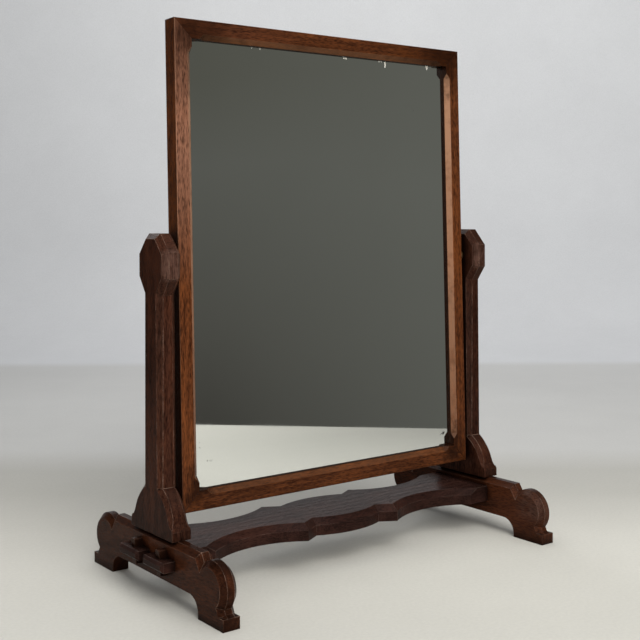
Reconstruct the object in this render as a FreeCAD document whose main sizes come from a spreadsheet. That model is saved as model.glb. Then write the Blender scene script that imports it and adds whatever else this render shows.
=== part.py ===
import FreeCAD, Part
import math
import os
import re
import Sketcher

# An oak dressing table mirror: a swing frame hung between two posts on a trestle stand.
# Left and right are as seen by the person in front of it, who looks along +Y.
# The origin is on the floor, midway between the feet.

doc = FreeCAD.newDocument("DressingTableMirror")
dims = doc.addObject("Spreadsheet::Sheet", "dims")
Vector = FreeCAD.Vector

SIZES = {
    # swing frame
    "frame_width": 446.0,
    "frame_height": 560.0,
    "frame_depth": 22.0,
    "member_width": 22.5,
    "arris_round": 1.2,
    "sight_chamfer": 6.0,
    "sight_stop": 9.0,
    "sight_runout": 7.0,
    "spline_thickness": 3.0,
    "spline_length": 15.0,
    "spline_width": 12.0,
    # glass and backboard
    "glass_setback": 9.5,
    "glass_thickness": 4.0,
    "glass_lap": 6.0,
    "glass_gap": 1.0,
    "glass_arris": 0.5,
    "back_lap": 14.0,
    "back_gap": 0.5,
    "back_thickness": 5.0,
    "back_bevel": 2.0,
    "back_screw_head": 6.0,
    "back_screw_shank": 2.6,
    "back_screw_length": 10.0,
    "back_screw_rail_spacing": 220.0,
    "back_screw_stile_spacing": 230.0,
    # tilt pivots
    "swing_clearance": 30.5,
    "tilt_angle": 1.5,
    "plate_height": 46.0,
    "plate_width": 14.0,
    "plate_thickness": 2.4,
    "plate_screw_spacing": 32.0,
    "plate_screw_head": 6.6,
    "plate_screw_shank": 3.2,
    "plate_screw_length": 14.0,
    "stud_diameter": 8.0,
    "stud_length": 14.0,
    "stud_clearance": 0.05,
    "washer_thickness": 2.2,
    "washer_diameter": 13.0,
    "washer_gap": 0.2,
    "flange_thickness": 1.5,
    "flange_diameter": 14.0,
    "bush_diameter": 11.0,
    "bush_length": 12.0,
    "screw_slot": 0.8,
    # posts
    "post_thickness": 23.6,
    "head_width": 62.8,
    "head_top_width": 26.0,
    "head_rise": 35.6,
    "head_shoulder": 14.6,
    "head_drop": 33.5,
    "neck_length": 4.0,
    "head_chamfer": 6.2,
    "shaft_top_width": 36.4,
    "shaft_foot_width": 36.8,
    "shaft_foot_chamfer": 4.7,
    "base_width": 93.0,
    "base_step_height": 10.0,
    "base_radius": 53.0,
    "base_centre_inset": 9.4,
    "base_centre_rise": 7.5,
    "base_curve_angle": 10.0,
    "base_chamfer": 4.8,
    "post_tenon_thickness": 6.0,
    "post_tenon_width": 76.0,
    "post_tenon_depth": 11.0,
    # feet
    "foot_thickness": 20.6,
    "foot_depth": 293.0,
    "toe_length": 49.0,
    "toe_height": 13.0,
    "neck_height": 20.5,
    "cove_depth": 1.2,
    "bulge_radius": 27.3,
    "bulge_height": 38.2,
    "bulge_setback": 0.5,
    "notch_angle": 50.0,
    "block_height": 68.5,
    "notch_run": 6.15,
    "arch_height": 22.5,
    "arch_radius": 18.0,
    "foot_chamfer": 6.0,
    # shelf and its tusks
    "shelf_height": 38.0,
    "shelf_thickness": 20.0,
    "shelf_end_width": 100.0,
    "shelf_end_length": 31.0,
    "bay_radius": 112.0,
    "cusp_spacing": 140.0,
    "cusp_width": 99.0,
    "notch_spacing": 98.0,
    "notch_width": 75.0,
    "bow_radius": 115.0,
    "shelf_chamfer": 7.5,
    "shelf_tenon_width": 44.0,
    "shelf_tenon_height": 11.0,
    "shelf_tenon_spacing": 56.0,
    "shelf_tenon_reach": 17.0,
    "shelf_tenon_chamfer": 3.0,
    "tusk_thickness": 8.0,
    "tusk_head_width": 10.0,
    "tusk_tip_width": 7.6,
    "tusk_length": 29.0,
    "tusk_rise": 9.0,
    "tusk_arris": 0.8,
    "tusk_relief": 1.0,
}
for row, (alias, size) in enumerate(SIZES.items(), start=1):
    dims.set(f"A{row}", alias)
    dims.set(f"B{row}", str(size))
    dims.setAlias(f"B{row}", alias)
doc.recompute()


def d(text):
    """Turn a formula in plain size names into one that reads the sheet."""
    return re.sub("[a-z_]+", lambda word: f"dims.{word[0]}" if word[0] in SIZES else word[0], text)


def value(text):
    """Work out a formula in plain size names."""
    return float(dims.evalExpression(d(text)))


# Places that several pieces share, as formulas in the sizes above
PLATE_FACE = "( frame_width / 2 + plate_thickness )"
POST_INNER = f"( {PLATE_FACE} + washer_thickness + washer_gap + flange_thickness )"
SIDE_X = f"( {POST_INNER} + post_thickness / 2 )"
FOOT_OUTER = f"( {SIDE_X} + foot_thickness / 2 )"
FOOT_INNER = f"( {SIDE_X} - foot_thickness / 2 )"
GLASS_SEAT = "( 0 - frame_depth / 2 + glass_setback )"
BACK_SEAT = f"( {GLASS_SEAT} + glass_thickness )"
BACK_FACE = f"( {BACK_SEAT} + back_thickness )"
BULGE_Y = "( foot_depth / 2 - bulge_setback - bulge_radius )"
SHELF_TOP = "( shelf_height + shelf_thickness )"
PIVOT_Z = f"( {SHELF_TOP} + swing_clearance + frame_height / 2 )"
TENON_Y = "( shelf_tenon_spacing / 2 )"
TENON_TOP = "( shelf_height + shelf_tenon_height )"


def new_body(name):
    body = doc.addObject("PartDesign::Body", name)
    body.Label = name
    return body


def new_sketch(body, name, plane_role, lift="0"):
    """A sketch on one of the body's origin planes, lifted along the plane's normal."""
    sketch = body.newObject("Sketcher::SketchObject", name)
    plane = next(item for item in body.Origin.OriginFeatures if item.Role == plane_role)
    sketch.AttachmentSupport = [(plane, "")]
    sketch.MapMode = "FlatFace"
    sketch.setExpression("AttachmentOffset.Base.z", d(lift))
    return sketch


def pin_point(sketch, shape, end, across, up):
    """Fix one point of a sketch at two formulas."""
    for kind, text in (("DistanceX", across), ("DistanceY", up)):
        index = sketch.addConstraint(Sketcher.Constraint(kind, -1, 1, shape, end, value(text)))
        sketch.setExpression(f"Constraints[{index}]", d(text))


def add_loop(sketch, corners):
    """Close a loop through corners (across, up), or (across, up, radius, turn) where an arc starts.

    turn is 1 for an arc that runs anticlockwise to the next corner and -1 for the other way.
    """
    points = [Vector(value(corner[0]), value(corner[1]), 0) for corner in corners]
    shapes = []
    for index, corner in enumerate(corners):
        start = points[index]
        end = points[(index + 1) % len(points)]
        if len(corner) == 2:
            shapes.append((sketch.addGeometry(Part.LineSegment(start, end)), 1, 2))
            continue
        radius = value(corner[2])
        turn = corner[3]
        chord = end - start
        middle = (start + end) * 0.5
        side = Vector(-chord.y, chord.x, 0).normalize()
        centre = middle + side * turn * math.sqrt(radius ** 2 - (chord.Length / 2) ** 2)
        angles = [math.atan2(p.y - centre.y, p.x - centre.x) for p in (start, end)]
        circle = Part.Circle(centre, Vector(0, 0, 1), radius)
        first, last = angles if turn > 0 else angles[::-1]
        arc = sketch.addGeometry(Part.ArcOfCircle(circle, first, last))
        shapes.append((arc, 1, 2) if turn > 0 else (arc, 2, 1))
    for index, corner in enumerate(corners):
        shape, start, end = shapes[index]
        before = shapes[index - 1]
        sketch.addConstraint(Sketcher.Constraint("Coincident", before[0], before[2], shape, start))
        pin_point(sketch, shape, start, corner[0], corner[1])
        if len(corner) > 2:
            radius = sketch.addConstraint(Sketcher.Constraint("Radius", shape, value(corner[2])))
            sketch.setExpression(f"Constraints[{radius}]", d(corner[2]))


def add_box(sketch, left, right, low, high):
    add_loop(sketch, [(left, low), (right, low), (right, high), (left, high)])


def add_circle(sketch, across, up, diameter):
    centre = Vector(value(across), value(up), 0)
    shape = sketch.addGeometry(Part.Circle(centre, Vector(0, 0, 1), value(diameter) / 2))
    pin_point(sketch, shape, 3, across, up)
    index = sketch.addConstraint(Sketcher.Constraint("Diameter", shape, value(diameter)))
    sketch.setExpression(f"Constraints[{index}]", d(diameter))


def pad(body, sketch, length, both_ways=False, downwards=False):
    feature = body.newObject("PartDesign::Pad", sketch.Name + "_pad")
    feature.Profile = sketch
    feature.setExpression("Length", d(length))
    feature.Midplane = both_ways
    feature.Reversed = downwards
    doc.recompute()
    return feature


def pocket(body, sketch, length, both_ways=False, along_normal=False):
    """Cut a sketch into the body, and make sure that it did cut."""
    before = body.Shape.Volume
    feature = body.newObject("PartDesign::Pocket", sketch.Name + "_pocket")
    feature.Profile = sketch
    feature.setExpression("Length", d(length))
    feature.Midplane = both_ways
    feature.Reversed = along_normal
    doc.recompute()
    if body.Shape.Volume >= before:
        raise RuntimeError(f"{feature.Name} cuts nothing")
    return feature


def edges_between(shape, spans):
    """Names of the edges that run from one point of a span to the other."""
    names = []
    for number, edge in enumerate(shape.Edges, start=1):
        ends = [vertex.Point for vertex in edge.Vertexes]
        if len(ends) < 2:
            continue
        for first, last in spans:
            straight = max(ends[0].distanceToPoint(first), ends[1].distanceToPoint(last))
            turned = max(ends[1].distanceToPoint(first), ends[0].distanceToPoint(last))
            if min(straight, turned) < 0.01:
                names.append(f"Edge{number}")
    if len(names) != len(spans):
        raise RuntimeError(f"{len(names)} edges found for {len(spans)} places")
    return names


def ease(body, kind, spans, size):
    """Chamfer or fillet the body's edges that run between the given pairs of points."""
    base = body.Tip
    feature = body.newObject(f"PartDesign::{kind}", f"{base.Name}_{kind}")
    feature.Base = (base, edges_between(base.Shape, spans))
    feature.setExpression("Size" if kind == "Chamfer" else "Radius", d(size))
    doc.recompute()
    return feature


def face_spans(corners, indices, half):
    """Both faces' edges of a plate in the YZ plane that start at the given corners."""
    points = [(value(corner[0]), value(corner[1])) for corner in corners]
    spans = []
    for index in indices:
        start = points[index]
        end = points[(index + 1) % len(points)]
        for x in (-half, half):
            spans.append((Vector(x, *start), Vector(x, *end)))
    return spans


def minus(text):
    return f"0 - ( {text} )"


# Feet

NECK_Y = f"( {BULGE_Y} + sqrt(bulge_radius ^ 2 - ( bulge_height - neck_height ) ^ 2) )"
NOTCH_Y = f"( {BULGE_Y} - bulge_radius * cos(notch_angle * 1deg) )"
FOOT_HALF = [
    ("foot_depth / 2", "0"),
    ("foot_depth / 2", "toe_height"),
    (f"( foot_depth / 2 + {NECK_Y} ) / 2 - cove_depth", "( toe_height + neck_height ) / 2 - cove_depth"),
    (NECK_Y, "neck_height"),
    (f"{BULGE_Y} + bulge_radius", "bulge_height"),
    (NOTCH_Y, "bulge_height + bulge_radius * sin(notch_angle * 1deg)"),
    (f"{NOTCH_Y} - notch_run", "block_height"),
]
ARCH_END = "foot_depth / 2 - toe_length"


def foot_outline():
    """The foot's side, from the rear toe's tip over the top to the front toe and back by the arch."""
    rear_rise = [
        *FOOT_HALF[:3],
        (*FOOT_HALF[3], "bulge_radius", 1),
        (*FOOT_HALF[4], "bulge_radius", 1),
        *FOOT_HALF[5:],
    ]
    front = [(minus(across), up) for across, up in reversed(FOOT_HALF)]
    front_fall = [
        front[0],
        (*front[1], "bulge_radius", 1),
        (*front[2], "bulge_radius", 1),
        *front[3:],
    ]
    arch = [
        (minus(ARCH_END), "0"),
        (minus(ARCH_END), "arch_height - arch_radius", "arch_radius", -1),
        (f"arch_radius - ( {ARCH_END} )", "arch_height"),
        (f"{ARCH_END} - arch_radius", "arch_height", "arch_radius", -1),
        (ARCH_END, "arch_height - arch_radius"),
        (ARCH_END, "0"),
    ]
    return rear_rise + front_fall + arch


def make_foot(label, turn):
    """A trestle foot sawn from one board, chamfered along its top, with mortises for shelf and post."""
    body = new_body(label)
    outline = foot_outline()
    side = new_sketch(body, f"{label}_side", "YZ_Plane")
    add_loop(side, outline)
    pad(body, side, "foot_thickness", both_ways=True)
    chamfered = range(1, 12)
    ease(body, "Chamfer", face_spans(outline, chamfered, value("foot_thickness / 2")), "foot_chamfer")
    toes = new_sketch(body, f"{label}_toes", "YZ_Plane")
    add_box(toes, ARCH_END, "foot_depth / 2", "0", "toe_height")
    add_box(toes, "0 - foot_depth / 2", minus(ARCH_END), "0", "toe_height")
    pad(body, toes, "foot_thickness", both_ways=True)
    mortises = new_sketch(body, f"{label}_shelf_mortises", "YZ_Plane")
    for centre in (TENON_Y, minus(TENON_Y)):
        add_box(mortises, f"{centre} - shelf_tenon_width / 2", f"{centre} + shelf_tenon_width / 2",
                "shelf_height", TENON_TOP)
    pocket(body, mortises, "2 * foot_thickness", both_ways=True)
    mortise = new_sketch(body, f"{label}_post_mortise", "XY_Plane", "block_height")
    add_box(mortise, "0 - post_tenon_thickness / 2", "post_tenon_thickness / 2",
            "0 - post_tenon_width / 2", "post_tenon_width / 2")
    pocket(body, mortise, "post_tenon_depth")
    stand_at_side(body, turn)
    return body


def stand_at_side(body, turn):
    """Put a piece made about the left side's middle plane at its side; the right one is turned round."""
    body.Placement = FreeCAD.Placement(Vector(), FreeCAD.Rotation(Vector(0, 0, 1), turn))
    body.setExpression("Placement.Base.x", d(SIDE_X if turn else minus(SIDE_X)))


# Posts

HEAD_TOP = f"( {PIVOT_Z} + head_rise )"
NECK_Z = f"( {PIVOT_Z} - head_drop )"
SHAFT_TOP = f"( {NECK_Z} - neck_length )"
BASE_CENTRE_Z = "( block_height + base_centre_rise )"
BASE_SPREAD = "( shaft_foot_width / 2 + base_centre_inset )"
BASE_TOP = f"( {BASE_CENTRE_Z} + sqrt(base_radius ^ 2 - {BASE_SPREAD} ^ 2) )"


def base_outline():
    half = [
        ("base_width / 2", "block_height"),
        ("base_width / 2", "block_height + base_step_height"),
        ("base_radius * cos(base_curve_angle * 1deg) - base_centre_inset",
         f"{BASE_CENTRE_Z} + base_radius * sin(base_curve_angle * 1deg)", "base_radius", 1),
        ("shaft_foot_width / 2", BASE_TOP),
    ]
    front = [
        (minus(half[3][0]), half[3][1], "base_radius", 1),
        (minus(half[2][0]), half[2][1]),
        (minus(half[1][0]), half[1][1]),
        (minus(half[0][0]), half[0][1]),
    ]
    return half + front


def head_outline():
    half = [
        ("shaft_top_width / 2", SHAFT_TOP),
        ("shaft_top_width / 2", NECK_Z),
        ("head_width / 2", f"{PIVOT_Z} - head_shoulder"),
        ("head_width / 2", f"{PIVOT_Z} + head_shoulder"),
        ("head_top_width / 2", HEAD_TOP),
    ]
    return half + [(minus(across), up) for across, up in reversed(half)]


def shaft_section(sketch, width, chamfer):
    """An oblong with its four corners cut off at 45 degrees."""
    x = "post_thickness / 2"
    y = f"{width} / 2"
    add_loop(sketch, [
        (x, f"{chamfer} - {y}"), (x, f"{y} - {chamfer}"),
        (f"{x} - {chamfer}", y), (f"{chamfer} - {x}", y),
        (minus(x), f"{y} - {chamfer}"), (minus(x), f"{chamfer} - {y}"),
        (f"{chamfer} - {x}", minus(y)), (f"{x} - {chamfer}", minus(y)),
    ])


def base_chamfer(body, name, face, end):
    """A chamfer on one curved edge of the post's foot, which fades out above the step."""
    stations = [("62", "1"), ("48", "1"), ("36", "1"), ("25", "0.95"), ("base_curve_angle + 4", "0.8"),
                ("base_curve_angle - 4", "0")]
    clear = "base_chamfer"
    edge_x = f"{face} * post_thickness / 2"
    cuts = []
    for number, (angle, share) in enumerate(stations):
        leg = f"{share} * base_chamfer"
        lean = f"90 - {end} * ( 90 - ( {angle} ) )"
        cut = new_sketch(body, f"{name}_{number}", "XY_Plane", BASE_CENTRE_Z)
        cut.AttachmentOffset = FreeCAD.Placement(Vector(), FreeCAD.Rotation(Vector(1, 0, 0), value(lean)))
        cut.setExpression("AttachmentOffset.Base.y", d(f"0 - {end} * base_centre_inset"))
        cut.setExpression("AttachmentOffset.Base.z", d(BASE_CENTRE_Z))
        cut.setExpression("AttachmentOffset.Rotation.Angle", d(lean))
        add_loop(cut, [
            (f"{edge_x} + {face} * {clear}", f"base_radius - {leg} - {clear}"),
            (f"{edge_x} + {face} * {clear}", f"base_radius + {clear}"),
            (f"{edge_x} - {face} * ( {leg} + {clear} )", f"base_radius + {clear}"),
        ])
        cuts.append(cut)
    cutter = body.newObject("PartDesign::SubtractiveLoft", name)
    cutter.Profile = cuts[0]
    cutter.Sections = cuts[1:]
    doc.recompute()


def make_post(label, turn):
    """A post with a swelling foot, a tapered shaft and an eight-sided head that holds the bush."""
    body = new_body(label)
    body.AllowCompound = True
    half = value("post_thickness / 2")
    base = new_sketch(body, f"{label}_base", "YZ_Plane")
    add_loop(base, base_outline())
    pad(body, base, "post_thickness", both_ways=True)
    for end, name in ((-1, "front"), (1, "rear")):
        base_chamfer(body, f"{label}_{name}_outer_chamfer", -1, end)
        base_chamfer(body, f"{label}_{name}_inner_chamfer", 1, end)
    head = new_sketch(body, f"{label}_head", "YZ_Plane")
    add_loop(head, head_outline())
    pad(body, head, "post_thickness", both_ways=True)
    ease(body, "Chamfer", face_spans(head_outline(), range(9), half), "head_chamfer")
    shaft_foot = new_sketch(body, f"{label}_shaft_foot", "XY_Plane", BASE_TOP)
    shaft_section(shaft_foot, "shaft_foot_width", "shaft_foot_chamfer")
    shaft_top = new_sketch(body, f"{label}_shaft_top", "XY_Plane", SHAFT_TOP)
    shaft_section(shaft_top, "shaft_top_width", "head_chamfer")
    shaft = body.newObject("PartDesign::AdditiveLoft", f"{label}_shaft")
    shaft.Profile = shaft_foot
    shaft.Sections = [shaft_top]
    shaft.Ruled = True
    doc.recompute()
    tenon = new_sketch(body, f"{label}_tenon", "XY_Plane", "block_height")
    add_box(tenon, "0 - post_tenon_thickness / 2", "post_tenon_thickness / 2",
            "0 - post_tenon_width / 2", "post_tenon_width / 2")
    pad(body, tenon, "post_tenon_depth", downwards=True)
    socket = new_sketch(body, f"{label}_bush_hole", "YZ_Plane", "post_thickness / 2")
    add_circle(socket, "0", PIVOT_Z, "bush_diameter")
    pocket(body, socket, "bush_length")
    stand_at_side(body, turn)
    return body


# Shelf and tusks

def shelf_outline():
    """Seen from above: square ends, then on each long side a bay, a cusp, a bow, a cusp and a bay."""
    end_x = FOOT_INNER
    bay_x = f"( {FOOT_INNER} - shelf_end_length )"
    front = [
        (minus(end_x), "0 - shelf_end_width / 2"),
        (minus(bay_x), "0 - shelf_end_width / 2", "bay_radius", -1),
        ("0 - cusp_spacing / 2", "0 - cusp_width / 2"),
        ("0 - notch_spacing / 2", "0 - notch_width / 2", "bow_radius", 1),
        ("notch_spacing / 2", "0 - notch_width / 2"),
        ("cusp_spacing / 2", "0 - cusp_width / 2", "bay_radius", -1),
        (bay_x, "0 - shelf_end_width / 2"),
        (end_x, "0 - shelf_end_width / 2"),
    ]
    back = []
    for corner in front:
        back.append((minus(corner[0]), minus(corner[1]), *corner[2:]))
    return front + back


def make_shelf():
    """The shelf that ties the feet, with two tenons at each end that pass right through the foot."""
    body = new_body("shelf")
    outline = shelf_outline()
    board = new_sketch(body, "shelf_board", "XY_Plane", "shelf_height")
    add_loop(board, outline)
    pad(body, board, "shelf_thickness")
    top = value(SHELF_TOP)
    corners = [Vector(value(corner[0]), value(corner[1]), top) for corner in outline]
    front = [(corners[index], corners[index + 1]) for index in range(1, 6)]
    ease(body, "Chamfer", front, "shelf_chamfer")
    for side in (-1, 1):
        name = "left" if side < 0 else "right"
        tenons = new_sketch(body, f"shelf_{name}_tenons", "YZ_Plane", f"{side} * {FOOT_INNER}")
        for centre in (TENON_Y, minus(TENON_Y)):
            add_box(tenons, f"{centre} - shelf_tenon_width / 2", f"{centre} + shelf_tenon_width / 2",
                    "shelf_height", TENON_TOP)
        pad(body, tenons, "foot_thickness + shelf_tenon_reach", downwards=side < 0)
    reach = value(f"{FOOT_OUTER} + shelf_tenon_reach")
    low = value("shelf_height")
    high = value(TENON_TOP)
    spans = []
    for x in (-reach, reach):
        for centre in (-value(TENON_Y), value(TENON_Y)):
            y0 = centre - value("shelf_tenon_width / 2")
            y1 = centre + value("shelf_tenon_width / 2")
            ring = [Vector(x, y0, low), Vector(x, y1, low), Vector(x, y1, high), Vector(x, y0, high)]
            spans += [(ring[index - 1], ring[index]) for index in range(4)]
    ease(body, "Chamfer", spans, "shelf_tenon_chamfer")
    for centre, name in ((TENON_Y, "rear"), (minus(TENON_Y), "front")):
        slots = new_sketch(body, f"shelf_{name}_tusk_slots", "XZ_Plane", minus(centre))
        for side in (-1, 1):
            inner = f"{side} * ( {FOOT_OUTER} - tusk_relief )"
            low_x = f"{side} * ( {FOOT_OUTER} + {tusk_width_at('shelf_height')} )"
            high_x = f"{side} * ( {FOOT_OUTER} + {tusk_width_at(TENON_TOP)} )"
            add_loop(slots, [(inner, "shelf_height"), (low_x, "shelf_height"),
                             (high_x, TENON_TOP), (inner, TENON_TOP)])
        pocket(body, slots, "tusk_thickness", both_ways=True)
    return body


TUSK_TOP = f"( {TENON_TOP} + tusk_rise )"
TUSK_FOOT = f"( {TUSK_TOP} - tusk_length )"


def tusk_width_at(height):
    """How far a tusk stands out from the foot at a height: it narrows evenly towards its tip."""
    slope = "( tusk_head_width - tusk_tip_width ) / tusk_length"
    return f"( tusk_tip_width + ( {height} - {TUSK_FOOT} ) * {slope} )"


def make_tusk(label, turn, centre):
    """A loose wedge, driven down through a tenon against the foot's outer face."""
    body = new_body(label)
    side = new_sketch(body, f"{label}_side", "XZ_Plane")
    foot_face = "0 - foot_thickness / 2"
    corners = [
        (foot_face, TUSK_FOOT),
        (foot_face, TUSK_TOP),
        (f"{foot_face} - tusk_head_width", TUSK_TOP),
        (f"{foot_face} - tusk_tip_width", TUSK_FOOT),
    ]
    add_loop(side, corners)
    pad(body, side, "tusk_thickness", both_ways=True)
    points = [(value(across), value(up)) for across, up in corners]
    spans = []
    for y in (-value("tusk_thickness / 2"), value("tusk_thickness / 2")):
        for start, end in ((1, 2), (3, 0)):
            first = Vector(points[start][0], y, points[start][1])
            last = Vector(points[end][0], y, points[end][1])
            spans.append((first, last))
    ease(body, "Chamfer", spans, "tusk_arris")
    stand_at_side(body, turn)
    body.setExpression("Placement.Base.y", d(centre))
    return body


# Swing frame

def hang(piece, angle=0, drop=None):
    """Put a piece made about the frame's middle, or about one edge of it, where the frame hangs."""
    lean = FreeCAD.Rotation(Vector(1, 0, 0), -value("tilt_angle"))
    turn = FreeCAD.Rotation(Vector(0, 1, 0), angle)
    edge = turn.multVec(Vector(0, 0, -value(drop))) if drop else Vector()
    pivot = Vector(0, 0, value(PIVOT_Z))
    piece.Placement = FreeCAD.Placement(pivot + lean.multVec(edge), lean.multiply(turn))


def make_member(label, length, reach, angle, screw_places, plate_screws):
    """One mitred side of the frame, made lying along X with its outer edge down and then turned.

    Its back is rebated twice, for the glass and for the backboard. The front's inner edge has a
    chamfer that runs out before the corners.
    """
    body = new_body(label)
    front = "0 - frame_depth / 2"
    back = "frame_depth / 2"
    end_x = f"{length} / 2"
    section = new_sketch(body, f"{label}_section", "YZ_Plane")
    add_loop(section, [
        (front, "0"), (back, "0"),
        (back, "member_width - back_lap"), (BACK_SEAT, "member_width - back_lap"),
        (BACK_SEAT, "member_width - glass_lap"), (GLASS_SEAT, "member_width - glass_lap"),
        (GLASS_SEAT, "member_width"), (front, "member_width"),
    ])
    pad(body, section, length, both_ways=True)
    half = value(end_x)
    rounded = []
    for y in (value(front), value(back)):
        rounded.append((Vector(-half, y, 0), Vector(half, y, 0)))
    ease(body, "Fillet", rounded, "arris_round")

    mitres = new_sketch(body, f"{label}_mitres", "XZ_Plane")
    add_loop(mitres, [(end_x, "0"), (end_x, "member_width"), (f"{end_x} - member_width", "member_width")])
    add_loop(mitres, [(minus(end_x), "0"), (f"member_width - {end_x}", "member_width"),
                      (minus(end_x), "member_width")])
    pocket(body, mitres, "2 * frame_depth", both_ways=True)

    full = f"( {end_x} - member_width - sight_stop - sight_runout )"
    faded = f"( {end_x} - member_width - sight_stop )"
    cuts = []
    for name, place, depth in (("a", minus(faded), "0 - arris_round"), ("b", minus(full), "sight_chamfer"),
                               ("c", full, "sight_chamfer"), ("d", faded, "0 - arris_round")):
        cut = new_sketch(body, f"{label}_chamfer_{name}", "YZ_Plane", place)
        clear = "sight_chamfer"
        add_loop(cut, [
            (f"{front} - {clear}", f"member_width - {depth} - {clear}"),
            (f"{front} + {depth} + {clear}", f"member_width + {clear}"),
            (f"{front} - {clear}", f"member_width + {clear}"),
        ])
        cuts.append(cut)
    chamfer = body.newObject("PartDesign::SubtractiveLoft", f"{label}_chamfer")
    chamfer.Profile = cuts[0]
    chamfer.Sections = cuts[1:]
    chamfer.Ruled = True
    doc.recompute()

    grooves = new_sketch(body, f"{label}_spline_grooves", "XZ_Plane", "frame_depth / 2 - glass_setback / 2")
    for side in (-1, 1):
        add_loop(grooves, spline_outline(side, length))
    pocket(body, grooves, "spline_thickness", both_ways=True)

    holes = new_sketch(body, f"{label}_back_screw_holes", "XZ_Plane", minus(BACK_SEAT))
    for place in screw_places:
        add_circle(holes, place, "member_width - ( glass_lap + back_lap ) / 2", "back_screw_shank")
    pocket(body, holes, "back_screw_length - back_thickness", along_normal=True)
    if plate_screws:
        bores = new_sketch(body, f"{label}_plate_screw_holes", "XY_Plane")
        for side in (-1, 1):
            add_circle(bores, f"{side} * plate_screw_spacing / 2", "0", "plate_screw_shank")
        pocket(body, bores, "plate_screw_length - plate_thickness", along_normal=True)
    hang(body, angle, reach)
    return body


def spline_outline(side, length):
    """A spline's oblong across the mitre at one end of a member."""
    middle_x = f"{side} * ( {length} / 2 - member_width / 2 )"
    along = "spline_length / 2 * sqrt(0.5)"
    across = "spline_width / 2 * sqrt(0.5)"
    corners = []
    for run, step in ((-1, -1), (1, -1), (1, 1), (-1, 1)):
        x = f"{middle_x} - {side} * ( {run} * {along} - {step} * {across} )"
        z = f"member_width / 2 + {run} * {along} + {step} * {across}"
        corners.append((x, z))
    return corners


def make_spline(label, side_x, side_z):
    """A loose tongue of hardwood glued into both sides of a mitre."""
    tongue = doc.addObject("Part::Box", label)
    tongue.Label = label
    tongue.setExpression("Length", d("spline_length"))
    tongue.setExpression("Width", d("spline_thickness"))
    tongue.setExpression("Height", d("spline_width"))
    middle = Vector(
        side_x * value("frame_width / 2 - member_width / 2"),
        value("0 - frame_depth / 2 + glass_setback / 2"),
        side_z * value("frame_height / 2 - member_width / 2"),
    )
    half = Vector(value("spline_length / 2"), value("spline_thickness / 2"), value("spline_width / 2"))
    turn = FreeCAD.Rotation(Vector(0, 1, 0), -45 * side_x * side_z)
    lean = FreeCAD.Rotation(Vector(1, 0, 0), -value("tilt_angle"))
    pivot = Vector(0, 0, value(PIVOT_Z))
    corner = middle - turn.multVec(half)
    tongue.Placement = FreeCAD.Placement(pivot + lean.multVec(corner), lean.multiply(turn))
    return tongue


def make_panel(label, lap, gap, seat, thickness, arris, eased_faces):
    """A flat panel that fills a rebate of the frame: the glass or the backboard."""
    body = new_body(label)
    half_x = f"( frame_width / 2 - member_width + {lap} - {gap} )"
    half_z = f"( frame_height / 2 - member_width + {lap} - {gap} )"
    face = new_sketch(body, f"{label}_face", "XZ_Plane", minus(seat))
    add_box(face, minus(half_x), half_x, minus(half_z), half_z)
    pad(body, face, thickness, downwards=True)
    x = value(half_x)
    z = value(half_z)
    spans = []
    for place in eased_faces:
        y = value(place)
        ring = [Vector(-x, y, -z), Vector(x, y, -z), Vector(x, y, z), Vector(-x, y, z)]
        spans += [(ring[index - 1], ring[index]) for index in range(4)]
    ease(body, "Chamfer", spans, arris)
    hang(body)
    return body


RAIL_SCREWS = ["0 - back_screw_rail_spacing / 2", "back_screw_rail_spacing / 2"]
STILE_SCREWS = ["0 - back_screw_stile_spacing", "0", "back_screw_stile_spacing"]


def cut_back_holes(backboard):
    """Holes for the screws round the backboard's rim."""
    holes = new_sketch(backboard, "backboard_holes", "XZ_Plane", minus(BACK_FACE))
    for x, z in back_screw_places():
        add_circle(holes, x, z, "back_screw_shank")
    pocket(backboard, holes, "2 * back_thickness", both_ways=True)


def back_screw_places():
    inset = "member_width - ( glass_lap + back_lap ) / 2"
    side_x = f"( frame_width / 2 - ( {inset} ) )"
    side_z = f"( frame_height / 2 - ( {inset} ) )"
    places = []
    for side in (-1, 1):
        places += [(x, f"{side} * {side_z}") for x in RAIL_SCREWS]
        places += [(f"{side} * {side_x}", z) for z in STILE_SCREWS]
    return places


def make_screw(name, head, shank, length, countersunk):
    """A slotted wood screw standing on its point's end, with the underside or rim of its head at zero."""
    body = new_body(name)
    profile = new_sketch(body, f"{name}_profile", "XZ_Plane")
    point = f"( {length} - {shank} )"
    if countersunk:
        head_corners = [("0", "0"), (f"{head} / 2", "0"), (f"{shank} / 2", f"( {shank} - {head} ) / 2")]
        slot_floor = f"0 - {head} / 8"
        slot_top = head
    else:
        head_corners = [("0", f"{head} / 3"), (f"{head} / 4", f"{head} / 3"), (f"{head} / 2", f"{head} / 8"),
                        (f"{head} / 2", "0"), (f"{shank} / 2", "0")]
        slot_floor = f"{head} / 6"
        slot_top = head
    add_loop(profile, head_corners + [(f"{shank} / 2", minus(point)), ("0", minus(length))])
    turned = body.newObject("PartDesign::Revolution", f"{name}_turned")
    turned.Profile = profile
    turned.ReferenceAxis = (profile, ["V_Axis"])
    turned.Angle = 360
    doc.recompute()
    slot = new_sketch(body, f"{name}_slot", "XZ_Plane")
    add_box(slot, "0 - screw_slot / 2", "screw_slot / 2", slot_floor, slot_top)
    pocket(body, slot, f"2 * {head}", both_ways=True)
    return body


def make_group(label, pattern, places, outward):
    """Copies of one screw, each a solid of its own, with their heads facing outward."""
    turn = FreeCAD.Rotation(Vector(0, 0, 1), outward)
    copies = []
    for place in places:
        copy = pattern.Shape.copy()
        copy.Placement = FreeCAD.Placement(place, turn)
        copies.append(copy)
    group = doc.addObject("Part::Feature", label)
    group.Label = label
    group.Shape = Part.makeCompound(copies)
    hang(group)
    return group


# Tilt pivots

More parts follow.
